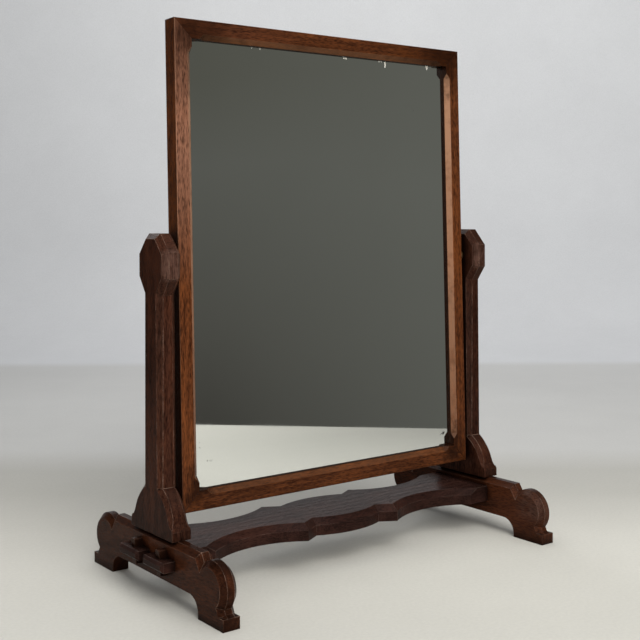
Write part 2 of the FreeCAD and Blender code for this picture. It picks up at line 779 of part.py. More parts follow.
def turned_piece(body, corners):
    """Turn a profile, given as distance along X and radius, about the X axis."""
    profile = new_sketch(body, f"{body.Name}_profile", "XZ_Plane")
    add_loop(profile, corners)
    turned = body.newObject("PartDesign::Revolution", f"{body.Name}_turned")
    turned.Profile = profile
    turned.ReferenceAxis = (profile, ["H_Axis"])
    turned.Angle = 360
    doc.recompute()


BORE = "( stud_diameter / 2 + stud_clearance )"


def make_bush(label, turn):
    """A flanged brass bush let into the head's inner face, bored for the stud."""
    body = new_body(label)
    face = "post_thickness / 2"
    turned_piece(body, [
        (f"{face} - bush_length", BORE), (f"{face} + flange_thickness", BORE),
        (f"{face} + flange_thickness", "flange_diameter / 2"), (face, "flange_diameter / 2"),
        (face, "bush_diameter / 2"), (f"{face} - bush_length", "bush_diameter / 2"),
    ])
    stand_at_side(body, turn)
    body.setExpression("Placement.Base.z", d(PIVOT_Z))
    return body


def make_plate(label, angle):
    """A brass plate screwed to the stile's edge, with the stud that turns in the bush."""
    body = new_body(label)
    outer = f"0 - ( {PLATE_FACE} )"
    face = new_sketch(body, f"{label}_face", "YZ_Plane", "0 - frame_width / 2")
    round_end = "plate_width / 2"
    straight = "( plate_height - plate_width ) / 2"
    add_loop(face, [
        (minus(round_end), minus(straight), round_end, 1), ("0", "0 - plate_height / 2", round_end, 1),
        (round_end, minus(straight)),
        (round_end, straight, round_end, 1), ("0", "plate_height / 2", round_end, 1),
        (minus(round_end), straight),
    ])
    pad(body, face, "plate_thickness", downwards=True)
    stud = new_sketch(body, f"{label}_stud", "YZ_Plane", outer)
    add_circle(stud, "0", "0", "stud_diameter")
    shank = pad(body, stud, "stud_length", downwards=True)
    rim = [f"Edge{number}" for number, edge in enumerate(shank.Shape.Edges, start=1)
           if abs(edge.CenterOfMass.x - value(f"{outer} - stud_length")) < 0.01]
    end = body.newObject("PartDesign::Chamfer", f"{label}_stud_end")
    end.Base = (shank, rim)
    end.setExpression("Size", d("stud_diameter / 10"))
    doc.recompute()
    for side in (-1, 1):
        mouth = new_sketch(body, f"{label}_sink_{'low' if side < 0 else 'high'}", "XZ_Plane")
        z = f"{side} * plate_screw_spacing / 2"
        sink = "( plate_screw_head - plate_screw_shank ) / 2"
        add_loop(mouth, [
            (outer, z), (outer, f"{z} + plate_screw_head / 2"),
            (f"{outer} + {sink}", f"{z} + plate_screw_shank / 2"),
            ("0 - frame_width / 2 + plate_thickness", f"{z} + plate_screw_shank / 2"),
            ("0 - frame_width / 2 + plate_thickness", z),
        ])
        bore = body.newObject("PartDesign::Groove", f"{label}_sunk_hole_{'low' if side < 0 else 'high'}")
        bore.Profile = mouth
        bore.ReferenceAxis = (mouth, ["Edge5"])
        bore.Angle = 360
        doc.recompute()
    hang(body, angle)
    return body


def make_washer(label, angle):
    """A leather washer that keeps the frame stiff on its studs."""
    body = new_body(label)
    outer = f"0 - ( {PLATE_FACE} )"
    turned_piece(body, [
        (outer, BORE), (f"{outer} - washer_thickness", BORE),
        (f"{outer} - washer_thickness", "washer_diameter / 2"), (outer, "washer_diameter / 2"),
    ])
    hang(body, angle)
    return body


# The stand

pieces = []
for side, turn in (("left", 0), ("right", 180)):
    pieces.append(make_foot(f"{side}_foot", turn))
    pieces.append(make_post(f"{side}_post", turn))
    pieces.append(make_bush(f"{side}_post_bush", turn))
    pieces.append(make_tusk(f"{side}_front_tusk", turn, minus(TENON_Y)))
    pieces.append(make_tusk(f"{side}_rear_tusk", turn, TENON_Y))
pieces.append(make_shelf())

# The swing frame and what it carries

half_height = "frame_height / 2"
half_width = "frame_width / 2"
pieces.append(make_member("frame_bottom_rail", "frame_width", half_height, 0, RAIL_SCREWS, False))
pieces.append(make_member("frame_left_stile", "frame_height", half_width, 90, STILE_SCREWS, True))
pieces.append(make_member("frame_top_rail", "frame_width", half_height, 180, RAIL_SCREWS, False))
pieces.append(make_member("frame_right_stile", "frame_height", half_width, 270, STILE_SCREWS, True))
for vertical, side_z in (("top", 1), ("bottom", -1)):
    for side, side_x in (("left", -1), ("right", 1)):
        pieces.append(make_spline(f"{vertical}_{side}_spline", side_x, side_z))
pieces.append(make_panel("mirror_glass", "glass_lap", "glass_gap", GLASS_SEAT, "glass_thickness",
                         "glass_arris", [GLASS_SEAT, BACK_SEAT]))
backboard = make_panel("backboard", "back_lap", "back_gap", BACK_SEAT, "back_thickness",
                       "back_bevel", [BACK_FACE])
cut_back_holes(backboard)
pieces.append(backboard)

back_screw = make_screw("back_screw", "back_screw_head", "back_screw_shank", "back_screw_length", False)
back_places = [Vector(value(x), value(BACK_FACE), value(z)) for x, z in back_screw_places()]
pieces.append(make_group("backboard_screws", back_screw, back_places, Vector(0, 1, 0)))

plate_screw = make_screw("plate_screw", "plate_screw_head", "plate_screw_shank", "plate_screw_length", True)
for side, angle, face in (("left", 0, -1), ("right", 180, 1)):
    pieces.append(make_plate(f"{side}_pivot_plate", angle))
    pieces.append(make_washer(f"{side}_pivot_washer", angle))
    reach = value("plate_screw_spacing / 2")
    places = [Vector(face * value(PLATE_FACE), 0, z) for z in (-reach, reach)]
    pieces.append(make_group(f"{side}_plate_screws", plate_screw, places, Vector(face, 0, 0)))

doc.recompute()
for item in doc.Objects:
    if "Invalid" in item.State or "Error" in item.State:
        raise RuntimeError(f"{item.Label} failed: {item.State}")
for piece in pieces:
    if piece.Shape.isNull() or not piece.Shape.isValid():
        raise RuntimeError(f"{piece.Label} has no valid shape")

os.makedirs("parts", exist_ok=True)
for piece in pieces:
    piece.Shape.exportStep(f"parts/{piece.Label}.step")
    box = piece.Shape.BoundBox
    print(f"{piece.Label}: {len(piece.Shape.Solids)} solids, {piece.Shape.Volume:.0f} mm3, "
          f"x {box.XMin:.1f} {box.XMax:.1f} y {box.YMin:.1f} {box.YMax:.1f} z {box.ZMin:.1f} {box.ZMax:.1f}")
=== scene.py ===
import bpy
import math
from mathutils import Matrix, Vector

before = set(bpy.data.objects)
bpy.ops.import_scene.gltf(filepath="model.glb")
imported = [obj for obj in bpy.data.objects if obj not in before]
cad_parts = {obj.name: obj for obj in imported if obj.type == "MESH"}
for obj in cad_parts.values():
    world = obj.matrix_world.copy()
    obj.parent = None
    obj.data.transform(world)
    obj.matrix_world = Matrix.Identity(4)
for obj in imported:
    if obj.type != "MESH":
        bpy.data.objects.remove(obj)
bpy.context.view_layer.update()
scene = bpy.context.scene
scene.view_settings.view_transform = "Standard"


# Studio floor: a seamless sweep of pale paper, laid along the line of sight and curved up behind the mirror.
# A painted shadow deepens its tone in a band behind the stand, and its tone lightens up the wall, where
# painted light brightens it higher up and painted shade darkens its left end. A painted shadow darkens it
# beyond the right front corner, where the glass looks.

VIEW_YAW = math.radians(37.41)
SWEEP_MIDDLE = (0, -0.35, 0)
SWEEP_HALF_WIDTH = 3.2
SWEEP_HALF_LENGTH = 2.1
SWEEP_RADIUS = 0.9
SWEEP_STEPS = 12
SWEEP_RISE = 2.5
bpy.ops.object.select_all(action="DESELECT")
bpy.ops.mesh.primitive_plane_add(size=2, location=SWEEP_MIDDLE)
sweep = bpy.context.object
sweep.name = "sweep"
sweep.scale = (SWEEP_HALF_WIDTH, SWEEP_HALF_LENGTH, 1)
bpy.ops.object.transform_apply(location=False, rotation=False, scale=True)
bpy.ops.object.mode_set(mode="EDIT")
bpy.ops.mesh.select_mode(type="EDGE")
bpy.ops.mesh.select_all(action="DESELECT")
bpy.ops.object.mode_set(mode="OBJECT")
for edge in sweep.data.edges:
    edge.select = all(sweep.data.vertices[index].co.y > 0 for index in edge.vertices)
bpy.ops.object.mode_set(mode="EDIT")
quarter_turn = math.radians(90)
stride = SWEEP_RADIUS * quarter_turn / SWEEP_STEPS
for step in range(SWEEP_STEPS):
    turn = quarter_turn * (step + 0.5) / SWEEP_STEPS
    bpy.ops.mesh.extrude_region_move(
        TRANSFORM_OT_translate={"value": (0, stride * math.cos(turn), stride * math.sin(turn))})
bpy.ops.mesh.extrude_region_move(TRANSFORM_OT_translate={"value": (0, 0, SWEEP_RISE)})
bpy.ops.mesh.select_all(action="SELECT")
bpy.ops.mesh.normals_make_consistent(inside=False)
bpy.ops.object.mode_set(mode="OBJECT")
bpy.ops.object.shade_smooth()
sweep.rotation_euler = (0, 0, -VIEW_YAW)
bpy.ops.object.transform_apply(location=True, rotation=True, scale=True)


def fill(tree, socket, filling):
    """Give a socket a value or a link."""
    if isinstance(filling, bpy.types.NodeSocket):
        tree.links.new(filling, socket)
    else:
        socket.default_value = filling


def put(tree, kind, inputs=None, **settings):
    """Add a shader node, set its properties, and fill its sockets."""
    made = tree.nodes.new(kind)
    for name, setting in settings.items():
        setattr(made, name, setting)
    for socket, filling in (inputs or {}).items():
        fill(tree, made.inputs[socket], filling)
    return made


def maths(tree, operation, *values):
    """One sum on numbers."""
    return put(tree, "ShaderNodeMath", dict(enumerate(values)), operation=operation).outputs[0]


def product(tree, mask, *others):
    """Several masks multiplied."""
    for other in others:
        mask = maths(tree, "MULTIPLY", mask, other)
    return mask


def vectors(tree, operation, *values):
    """One sum on vectors; a length, a distance or a dot product comes out as a number."""
    made = put(tree, "ShaderNodeVectorMath", dict(enumerate(values)), operation=operation)
    return made.outputs["Value" if operation in ("LENGTH", "DISTANCE", "DOT_PRODUCT") else "Vector"]


def axes(tree, vector):
    """A vector's X, Y and Z."""
    return put(tree, "ShaderNodeSeparateXYZ", {"Vector": vector}).outputs


def spread(tree, value, low, high, to_low=0.0, to_high=1.0):
    """A value stretched from one span to another, and held at its ends."""
    return put(tree, "ShaderNodeMapRange", {"Value": value, "From Min": low, "From Max": high,
                                            "To Min": to_low, "To Max": to_high}).outputs[0]


def surface(tree):
    """The place on the object, in metres."""
    return put(tree, "ShaderNodeTexCoord").outputs["Object"]


def mapped(tree, place, kind="POINT", **mapping):
    """The place on a surface, moved, turned or drawn out."""
    return put(tree, "ShaderNodeMapping", {"Vector": place, **mapping}, vector_type=kind).outputs[0]


def noise(tree, place, scale, detail, roughness=0.5, shows="Fac"):
    """A cloudy pattern over a surface."""
    return put(tree, "ShaderNodeTexNoise", {"Vector": place, "Scale": scale, "Detail": detail,
                                            "Roughness": roughness}).outputs[shows]


def ramp(tree, value, *stops):
    """Colours along a value, each stop (position, colour); the first is at 0 and the last at 1."""
    band = put(tree, "ShaderNodeValToRGB", {"Fac": value})
    points = band.color_ramp.elements
    points[0].color = (*stops[0][1], 1)
    points[1].color = (*stops[-1][1], 1)
    for position, colour in stops[1:-1]:
        points.new(position).color = (*colour, 1)
    return band.outputs["Color"]


def toned(tree, colour, share):
    """A colour made lighter or darker."""
    return put(tree, "ShaderNodeVectorMath", {0: colour, "Scale": share}, operation="SCALE").outputs[0]


def new_material(name):
    """An empty material, and its nodes."""
    material = bpy.data.materials.new(name)
    material.use_nodes = True
    material.node_tree.nodes.clear()
    return material, material.node_tree


def finish_material(tree, shader):
    """Lead the shader to the surface."""
    put(tree, "ShaderNodeOutputMaterial", {"Surface": shader.outputs[0]})


PAPER_NEAR, PAPER_FAR = -0.4, 2.0
PAINTED_SHADOW_MIDDLE = (0.8, -0.65, 0)
paper, tree = new_material("seamless_paper")
place = surface(tree)
along = axes(tree, mapped(tree, place, Rotation=(0, 0, VIEW_YAW)))
# The tone ramp dips in a band behind the stand: a painted shadow.
tone = ramp(tree, spread(tree, along["Y"], PAPER_NEAR, PAPER_FAR),
            (0.0, (0.57, 0.558, 0.512)), (0.2, (0.56, 0.547, 0.5)), (0.29, (0.46, 0.45, 0.412)),
            (0.35, (0.445, 0.436, 0.404)), (0.42, (0.54, 0.537, 0.52)), (0.8, (0.65, 0.647, 0.634)),
            (0.88, (0.68, 0.678, 0.666)), (0.92, (0.79, 0.798, 0.812)), (1.0, (0.79, 0.798, 0.812)))
mottle = spread(tree, noise(tree, place, 2.2, 9.0, 0.72), 0.3, 0.7, 0.965, 1.03)
fibre = spread(tree, noise(tree, place, 240.0, 2.0), 0.3, 0.7, 0.972, 1.028)
# Painted light brightens the paper higher up the wall, painted shade darkens its left end, and a painted
# shadow darkens a pool beyond the right front corner.
painted_wall_light = spread(tree, along["Z"], 0.35, 1.15, 1.0, 1.17)
side = spread(tree, along["X"], -1.3, -0.5, 0.9, 1.0)
shade = spread(tree, vectors(tree, "DISTANCE", place, PAINTED_SHADOW_MIDDLE), 0.0, 0.62, 0.6, 1.0)
colour = toned(tree, tone, product(tree, mottle, fibre, painted_wall_light, side, shade))
finish_material(tree, put(tree, "ShaderNodeBsdfPrincipled", {"Base Color": colour, "Roughness": 0.9,
                                                             "Specular IOR Level": 0.15}))
sweep.data.materials.append(paper)


# Screens: two glowing cloths that only reflections see; they are not lit by the lamps. The grey one beyond
# the right front corner is what the glass looks at, with painted shade darker towards the floor and its near
# end.
# The black one, to the left, is painted shade: it takes the glare off the faces that look that way.

def blend(tree, share, under, over):
    """Two colours mixed: share of over on under."""
    mixer = put(tree, "ShaderNodeMix", data_type="RGBA")
    sockets = {socket.identifier: socket for socket in mixer.inputs}
    for name, filling in (("Factor_Float", share), ("A_Color", under), ("B_Color", over)):
        fill(tree, sockets[name], filling)
    return next(socket for socket in mixer.outputs if socket.identifier == "Result_Color")


GREY_TURN = math.radians(56.3)
BLACK_TURN = math.radians(60)
SCREEN_HALF_WIDTH = 1.6
SCREEN_HALF_HEIGHT = 1.5
glowing_grey_cloth, tree = new_material("glowing_grey_cloth")
along = axes(tree, mapped(tree, surface(tree), Rotation=(0, 0, -GREY_TURN)))
height = spread(tree, along["Z"], 0.0, 0.8)
# The grey cloth's glow carries painted shade: darker towards the floor and its near end.
near_end = ramp(tree, height, (0, (0.052, 0.05, 0.044)), (0.3, (0.077, 0.076, 0.067)),
                (0.75, (0.102, 0.103, 0.092)), (1, (0.09, 0.09, 0.076)))
far_end = ramp(tree, height, (0, (0.1, 0.101, 0.09)), (0.65, (0.12, 0.122, 0.109)),
               (1, (0.112, 0.113, 0.099)))
grey = blend(tree, spread(tree, along["X"], -0.64, -0.1), near_end, far_end)
finish_material(tree, put(tree, "ShaderNodeEmission", {"Color": grey, "Strength": 1.0}))
# The black cloth glows almost black: painted shade standing in for a dark room.
black_shade_cloth, tree = new_material("black_shade_cloth")
finish_material(tree, put(tree, "ShaderNodeEmission", {"Color": (0.012, 0.012, 0.012, 1), "Strength": 1.0}))

for name, middle, turn, cloth in (("right_screen", (0.634, -0.872), GREY_TURN, glowing_grey_cloth),
                                  ("left_screen", (-1.5, 0.3), BLACK_TURN, black_shade_cloth)):
    bpy.ops.object.select_all(action="DESELECT")
    bpy.ops.mesh.primitive_plane_add(size=2)
    screen = bpy.context.object
    screen.name = name
    screen.scale = (SCREEN_HALF_WIDTH, SCREEN_HALF_HEIGHT, 1)
    screen.rotation_euler = (math.radians(90), 0, turn)
    screen.location = (*middle, SCREEN_HALF_HEIGHT)
    bpy.ops.object.transform_apply(location=True, rotation=True, scale=True)
    screen.data.materials.append(cloth)
    screen.visible_camera = False
    screen.visible_diffuse = False
    screen.visible_transmission = False
    screen.visible_shadow = False


# Lamps: a broad softbox hangs in front of the mirror and above it, a weaker one overhead, and a small one
# behind it lights the backboard. The room adds a little even light, and is pale where it is seen.

LAMPS_AIM = (0, 0, 0.3)
for name, place, size, opening, watts, tint in (
    ("front_softbox", (-0.55, -2.25, 2.2), 2.4, 180, 92, (1.0, 0.985, 0.95)),
    ("overhead_softbox", (0.2, 0.0, 2.6), 2.6, 180, 19, (0.97, 0.98, 1.0)),
    ("rear_softbox", (0.35, 2.3, 1.9), 1.2, 60, 2.6, (0.98, 0.99, 1.0)),
):
    lamp = bpy.data.lights.new(name, "AREA")
    lamp.shape = "SQUARE"
    lamp.size = size
    lamp.spread = math.radians(opening)
    lamp.energy = watts
    lamp.color = tint
    softbox = bpy.data.objects.new(name, lamp)
    softbox.location = place
    softbox.rotation_euler = (Vector(LAMPS_AIM) - Vector(place)).to_track_quat("-Z", "Y").to_euler()
    softbox.visible_camera = False
    scene.collection.objects.link(softbox)


def most(tree, mask, *others):
    """The strongest of several masks."""
    for other in others:
        mask = maths(tree, "MAXIMUM", mask, other)
    return mask


scene.world = bpy.data.worlds.new("studio")
scene.world.use_nodes = True
tree = scene.world.node_tree
tree.nodes.clear()
path = put(tree, "ShaderNodeLightPath").outputs
seen = most(tree, path["Is Camera Ray"], path["Is Glossy Ray"], path["Is Transmission Ray"])
room = put(tree, "ShaderNodeBackground", {"Color": (0.95, 0.97, 1.0, 1), "Strength": 0.28})
pale = put(tree, "ShaderNodeBackground", {"Color": (0.62, 0.63, 0.65, 1), "Strength": 1.0})
both = put(tree, "ShaderNodeMixShader", {0: seen, 1: room.outputs[0], 2: pale.outputs[0]})
put(tree, "ShaderNodeOutputWorld", {"Surface": both.outputs[0]})


# Camera: it stands in front of the mirror and to the left, a little above the middle of the glass, and looks
# almost level. The lens is shifted down, so that the posts stay upright in the picture.

CAMERA_PLACE = (-0.84765, -1.08862, 0.42263)
CAMERA_DIP = math.radians(0.402)
CAMERA_ROLL = math.radians(-0.183)
lens = bpy.data.cameras.new("camera")
lens.sensor_width = 36.0
lens.lens = 61.76
lens.shift_x = 0.00127
lens.shift_y = -0.14994
lens.clip_start = 0.05
lens.clip_end = 30
camera = bpy.data.objects.new("camera", lens)
camera.matrix_world = (Matrix.Translation(CAMERA_PLACE) @ Matrix.Rotation(-VIEW_YAW, 4, "Z")
                       @ Matrix.Rotation(math.radians(90) - CAMERA_DIP, 4, "X")
                       @ Matrix.Rotation(CAMERA_ROLL, 4, "Z"))
scene.collection.objects.link(camera)
scene.camera = camera


# Feet: two trestle feet sawn from dark oak board and waxed, the grain running from toe to toe.
# The chamfers are cut by hand, so every arris is a little worn and carries a painted highlight, every hollow
# holds old wax and painted shade, and the tops are painted darker as shade.

def new_group(name, puts_out, takes=()):
    """A node group that takes the place on a surface, and numbers, and puts out masks."""
    group = bpy.data.node_groups.new(name, "ShaderNodeTree")
    group.interface.new_socket("Vector", in_out="INPUT", socket_type="NodeSocketVector")
    for way, sockets in (("INPUT", takes), ("OUTPUT", puts_out)):
        for socket in sockets:
            group.interface.new_socket(socket, in_out=way, socket_type="NodeSocketFloat")
    return group, put(group, "NodeGroupInput").outputs


def oak_grain_group():
    """Oak with its grain along Z: growth rings and streaks, a broad drift of tone, and open pores."""
    group, given = new_group("oak_grain", ("Figure", "Drift", "Pores", "Height"),
                             ("Ring Width", "Ring Share"))

    def drawn_out(share):
        """The place on the wood, with the grain's length drawn in so that a pattern runs long."""
        return mapped(group, given["Vector"], Scale=(1, 1, share))

    sway = noise(group, drawn_out(0.25), 22.0, 3.0, shows="Color")
    sway = vectors(group, "MULTIPLY", sway, (0.02, 0.02, 0))
    radius = vectors(group, "LENGTH", vectors(group, "ADD", drawn_out(0.012), sway))
    ring = maths(group, "PINGPONG", maths(group, "DIVIDE", radius, given["Ring Width"]), 1.0)
    streaks = noise(group, drawn_out(0.14), 640.0, 4.0, 0.65)
    fibres = maths(group, "MULTIPLY_ADD", noise(group, drawn_out(0.12), 1250.0, 2.0), 0.55, -0.05)
    lines = maths(group, "MULTIPLY_ADD", streaks, 0.5, fibres)
    even_ring = maths(group, "SUBTRACT", ring, 0.5)
    figure = spread(group, maths(group, "MULTIPLY_ADD", even_ring, given["Ring Share"], lines), 0.345, 0.605)
    drift = noise(group, drawn_out(0.3), 30.0, 4.0, 0.6)
    cells = put(group, "ShaderNodeTexVoronoi", {"Vector": drawn_out(0.13), "Scale": 820.0})
    pores = spread(group, cells.outputs["Distance"], 0.16, 0.42, 1.0, 0.0)
    height = maths(group, "MULTIPLY_ADD", pores, -0.8, figure)
    put(group, "NodeGroupOutput", {"Figure": figure, "Drift": drift, "Pores": pores, "Height": height})
    return group


def handling_group():
    """Where a piece is worn, glints or darkens: arrises, chamfers, hollows with old wax and painted shade,
    and tops; and its arrises' rounding.
    """
    group, given = new_group("handling", ("Rubbed", "Chamfers", "GrimeAndShade", "Tops"), ("Arris",))
    group.interface.new_socket("Normal", in_out="OUTPUT", socket_type="NodeSocketVector")
    rounded = put(group, "ShaderNodeBevel", {"Radius": given["Arris"]}, samples=8).outputs[0]
    flat = put(group, "ShaderNodeNewGeometry").outputs["True Normal"]
    edge = spread(group, vectors(group, "DOT_PRODUCT", rounded, flat), 0.995, 0.94)
    # Hollows found by occlusion: old wax and painted shade.
    hollow = put(group, "ShaderNodeAmbientOcclusion", {"Distance": 0.018}, samples=8)
    grime_and_shade = spread(group, hollow.outputs["AO"], 0.86, 0.45)
    uneven = spread(group, noise(group, given["Vector"], 38.0, 6.0, 0.75), 0.46, 0.64, 0.1, 1.0)
    clean = maths(group, "MULTIPLY_ADD", grime_and_shade, -0.6, 1.0)
    facing = put(group, "ShaderNodeTexCoord").outputs["Normal"]
    side = axes(group, vectors(group, "ABSOLUTE", facing))
    square = most(group, side["X"], side["Y"], side["Z"])
    # Up-facing tops, painted darker as shade where a wood asks for it.
    tops = spread(group, axes(group, facing)["Z"], 0.55, 0.9)
    put(group, "NodeGroupOutput", {"Rubbed": product(group, edge, uneven, clean),
                                   "Chamfers": spread(group, square, 0.92, 0.78), "GrimeAndShade": grime_and_shade,
                                   "Tops": tops, "Normal": rounded})
    return group


def layer(tree, under, mask, colour, share):
    """Lay one colour over another through a mask, at most share of it."""
    strength = put(tree, "ShaderNodeMath", {0: mask, 1: share}, operation="MULTIPLY", use_clamp=True)
    return blend(tree, strength.outputs[0], under, (*colour, 1))


OAK_GRAIN = oak_grain_group()
HANDLING = handling_group()
OAK_ARRIS = 0.001


def waxed_oak(name, turn, heart, ring, dark, light, warm, rubbed_and_highlight, chamfer_highlight=0.0, rub_and_highlight=0.6, top_shade=0.0, sheen=0.26,
              polish=0.05, rings=0.09, open_pores=0.7, patchy=1.0, wear=None, faded_and_lit=None):
    """Waxed wood: turn lays the grain, heart is the tree's centre, dark to light the colours of the figure.

    ring is the width of a growth ring, and warm the tone that the wood drifts to. rings, open_pores and
    patchy are how plainly the rings, the pores and that drift show. rubbed_and_highlight is the tone of worn
    arrises and of painted highlights, rub_and_highlight how far the arrises are worn and painted with a
    highlight, chamfer_highlight how far the chamfers are painted paler as a highlight, and top_shade how far
    the tops are painted darker as shade. sheen is how rough the wax is, and polish how strongly it shines.
    wear is a group that says where use has marked the piece and where light and shade are painted, and
    faded_and_lit the tone of the places paled by use and of those painted as lit.
    """
    material, tree = new_material(name)
    place = surface(tree)
    laid = mapped(tree, place, Rotation=[math.radians(angle) for angle in turn], Location=heart)
    grain = put(tree, "ShaderNodeGroup", {"Vector": laid, "Ring Width": ring, "Ring Share": rings},
                node_tree=OAK_GRAIN).outputs
    handled = put(tree, "ShaderNodeGroup", {"Vector": place, "Arris": OAK_ARRIS},
                  node_tree=HANDLING).outputs
    arrises, chamfers, grime_and_shade = handled["Rubbed"], handled["Chamfers"], handled["GrimeAndShade"]
    coat = toned(tree, ramp(tree, grain["Figure"], (0, dark), (1, light)),
                 spread(tree, grain["Drift"], 0.32, 0.62, 1 - 0.3 * patchy, 1 + 0.2 * patchy))
    coat = layer(tree, coat, spread(tree, grain["Drift"], 0.5, 0.68), warm, 0.4 * patchy)
    if wear:
        marks = put(tree, "ShaderNodeGroup", {"Vector": place}, node_tree=wear).outputs
        arrises = product(tree, arrises, marks["Open"])
        chamfers = product(tree, chamfers, marks["Pale"])
        grime_and_shade = most(tree, grime_and_shade, marks["DirtAndShade"])
        lines = spread(tree, grain["Figure"], 0.0, 0.8, 0.3, 1.0)
        coat = layer(tree, coat, product(tree, marks["FadedAndLit"], lines), faded_and_lit, 0.85)
    coat = layer(tree, coat, grain["Pores"], [part * 0.35 for part in dark], open_pores)
    # Chamfers painted paler: a painted highlight.
    coat = layer(tree, coat, chamfers, rubbed_and_highlight, chamfer_highlight)
    # Tops painted darker: painted shade.
    coat = layer(tree, coat, handled["Tops"], [part * 0.6 for part in dark], top_shade)
    # Hollows darkened by old wax and painted shade.
    coat = layer(tree, coat, grime_and_shade, [part * 0.3 for part in dark], 0.9)
    # Arrises paler where worn, with a painted highlight.
    coat = layer(tree, coat, arrises, rubbed_and_highlight, rub_and_highlight)
    gloss = spread(tree, grain["Height"], -0.5, 1.0, sheen + 0.16, sheen - 0.03)
    relief = put(tree, "ShaderNodeBump", {"Height": grain["Height"], "Strength": 0.2, "Distance": 0.00016,
                                          "Normal": handled["Normal"]})
    finish_material(tree, put(tree, "ShaderNodeBsdfPrincipled", {
        "Base Color": coat, "Roughness": gloss, "Normal": relief.outputs[0], "Specular IOR Level": polish}))
    return material


def dress(material, *nodes):
    """Give CAD nodes their finish."""
    for node in nodes:
        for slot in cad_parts[node].material_slots:
            slot.material = material


USE_MARKS = ("DirtAndShade", "Open", "Pale", "FadedAndLit")


def blotted(group, place):
    """Two uneven masks: how far blots mark a surface, and how far they leave its arrises open."""
    blots = noise(group, place, 85.0, 4.0, 0.65)
    return spread(group, blots, 0.36, 0.56, 0.25, 1.0), spread(group, blots, 0.3, 0.42, 0.8, 1.0)


def foot_wear_group():
    """Marks on the feet: the left one's front end is darker, and the right one's front end has a painted
    highlight.
    """
    group, given = new_group("foot_wear", USE_MARKS)
    patchy, rubbed_and_highlight = blotted(group, given["Vector"])
    at = axes(group, given["Vector"])
    front = product(group, spread(group, at["Y"], -0.095, -0.118), patchy)
    left = spread(group, at["X"], 0.02, -0.02, 0.0, 0.62)
    off_side = spread(group, at["X"], -0.2511, -0.2504)
    right = spread(group, at["X"], -0.02, 0.02, 0.0, 0.5)
    off_toe = spread(group, at["Z"], 0.022, 0.035)
    ends = spread(group, maths(group, "ABSOLUTE", at["Y"]), 0.06, 0.1, 0.4, 1.0)
    # Painted highlight on the right foot's front end.
    put(group, "NodeGroupOutput", {"DirtAndShade": product(group, left, off_side, front),
                                   "Open": product(group, rubbed_and_highlight, ends), "Pale": patchy,
                                   "FadedAndLit": product(group, front, off_toe, right)})
    return group


foot_oak = waxed_oak("foot_oak", (90, 0, 0), (0.3, 0.05, 0.02), 0.004, dark=(0.018, 0.0057, 0.0027),
                     light=(0.078, 0.0262, 0.0126), warm=(0.085, 0.024, 0.0085), rubbed_and_highlight=(0.36, 0.24, 0.18),
                     rub_and_highlight=0.9, top_shade=0.6, polish=0.04, wear=foot_wear_group(), faded_and_lit=(0.1, 0.06, 0.048))
dress(foot_oak, "left_foot", "right_foot")


# Posts: one oak board each, swelling at the foot and ending in an eight-sided head, grain upright.
# Each stands on its foot by a stub tenon. Hands have paled the heads, old wax has gathered at the heels,
# and a painted shadow of the mirror darkens the right post.

PIVOT_HEIGHT = 0.3685


def post_wear_group():
    """Marks on the posts: heads paled by the hands that tilt the mirror, wax at the heels, and the mirror's
    painted shadow on the right post.
    """
    group, given = new_group("post_wear", USE_MARKS)
    patchy, rubbed_and_highlight = blotted(group, given["Vector"])
    at = axes(group, given["Vector"])
    level = maths(group, "ABSOLUTE", maths(group, "SUBTRACT", at["Z"], PIVOT_HEIGHT))
    depth = maths(group, "ABSOLUTE", at["Y"])
    grip = product(group, spread(group, level, 0.019, 0.0155), spread(group, depth, 0.021, 0.028))
    heel = product(group, spread(group, at["Z"], 0.1, 0.06, 0.0, 0.55), patchy)
    # Painted shadow: the mirror's shadow falls on the right post.
    painted_mirror_shadow = spread(group, at["X"], 0.1, 0.2, 0.0, 0.22)
    high = spread(group, at["Z"], 0.078, 0.094, 0.3, 1.0)
    put(group, "NodeGroupOutput", {"DirtAndShade": most(group, heel, painted_mirror_shadow), "Open": product(group, rubbed_and_highlight, high),
                                   "Pale": patchy, "FadedAndLit": product(group, grip, patchy)})
    return group


post_oak = waxed_oak("post_oak", (0, 0, 0), (0.02, 0.08, 0), 0.0035, dark=(0.014, 0.0045, 0.0023),
                     light=(0.07, 0.026, 0.0155), warm=(0.075, 0.021, 0.0085), rubbed_and_highlight=(0.4, 0.26, 0.195),
                     chamfer_highlight=0.02, rub_and_highlight=0.95, top_shade=0.5, polish=0.03, wear=post_wear_group(),
                     faded_and_lit=(0.115, 0.06, 0.045))
dress(post_oak, "left_post", "right_post")


# Shelf: a shaped oak board that ties the feet, polished by what was stood on it, grain from side to side.
# A chamfer follows its front edge, and its tenons pass right through the feet.

shelf_oak = waxed_oak("shelf_oak", (0, 90, 0), (0.03, 0.3, 0.1), 0.006, dark=(0.0118, 0.0053, 0.004),
                      light=(0.0425, 0.0188, 0.0145), warm=(0.047, 0.0172, 0.0108), rubbed_and_highlight=(0.19, 0.125, 0.1),
                      polish=0.03)
dress(shelf_oak, "shelf")


# Tusks: four loose wedges of the same dark oak, driven down through slots in the shelf's tenons.
# They draw the feet tight to the shelf, and knocked out they let the stand come apart.

tusk_oak = waxed_oak("tusk_oak", (0, 0, 0), (0.1, 0.2, 0), 0.003, dark=(0.02, 0.007, 0.004),
                     light=(0.055, 0.022, 0.013), warm=(0.065, 0.022, 0.01), rubbed_and_highlight=(0.2, 0.12, 0.085))
dress(tusk_oak, *[f"{side}_{end}_tusk" for side in ("left", "right") for end in ("front", "rear")])


# Swing frame: four mitred members of redder oak, rebated at the back for the glass and the board, with hidden
# splines in the mitres. A painted highlight pales the chamfers, more so up high, and dirt lies in the
# corners.
# Dirt and painted shade darken the outer sides below the pivots, and painted light pales the upper left
# stile.

